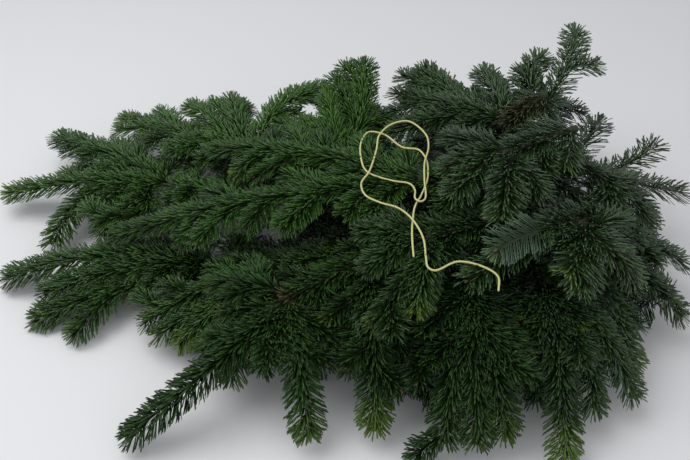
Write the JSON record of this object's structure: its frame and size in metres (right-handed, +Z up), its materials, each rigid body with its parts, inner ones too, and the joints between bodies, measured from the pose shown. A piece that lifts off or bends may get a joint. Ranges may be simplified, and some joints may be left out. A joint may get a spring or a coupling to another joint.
{
  "type": "bundle of fir branches",
  "caption": "Low heap of cut fir boughs with flat needled shoots, laid together as one bundle with a thin tie string in loose loops on top.",
  "frame": {"origin": "on the surface that the bundle lies on, on the flat underside of the lowest bough, under the middle of the heap", "axes": "+X along the bundle, +Y across it from front to back, +Z up"},
  "size_m": [0.9294, 0.648, 0.2294],
  "materials": {
    "needles": "dark green needles, satin above, paler and bluish below",
    "fresh_needles": "mid green needles, satin above, paler below",
    "string": "pale yellow twisted string, matt"
  },
  "bodies": {
    "root": {"bough_01": "needles", "bough_01_back": "needles", "bough_01_front": "needles", "bough_02": "needles", "bough_02_back": "needles", "bough_02_far": "needles", "bough_03": "needles", "bough_03_front": "needles", "bough_03_right": "needles", "bough_04": "needles", "bough_04_left": "needles", "bough_04_front": "needles", "bough_05": "needles", "bough_05_left": "needles", "bough_05_down": "needles", "bough_06": "needles", "bough_06_back": "needles", "bough_06_rear": "needles", "bough_06_front": "needles", "bough_07": "needles", "bough_07_back": "needles", "bough_08": "fresh_needles", "bough_08_left": "fresh_needles", "bough_08_right": "fresh_needles", "bough_08_down": "fresh_needles", "bough_09": "needles", "bough_09_left": "needles", "bough_09_front": "needles", "bough_09_middle": "needles", "bough_10": "needles", "bough_10_left": "needles", "bough_10_right": "needles", "bough_11": "needles", "bough_11_left": "needles", "bough_11_right": "needles", "bough_12": "needles", "bough_12_left": "needles", "bough_12_right": "needles", "bough_13": "fresh_needles", "bough_13_front": "fresh_needles", "bough_14": "fresh_needles", "bough_14_middle": "fresh_needles", "bough_14_right": "fresh_needles", "bough_14_arch": "fresh_needles", "bough_15": "needles", "bough_15_front": "needles", "bough_15_back": "needles", "bough_16": "needles", "bough_16_front": "needles", "bough_16_back": "needles", "bough_17": "fresh_needles", "bough_17_middle": "fresh_needles", "bough_17_front": "fresh_needles", "bough_18": "needles", "bough_18_left": "needles", "bough_18_right": "needles", "bough_19": "needles", "bough_19_middle": "needles", "bough_19_right": "needles", "tie_string": "string"}
  },
  "joints": []
}
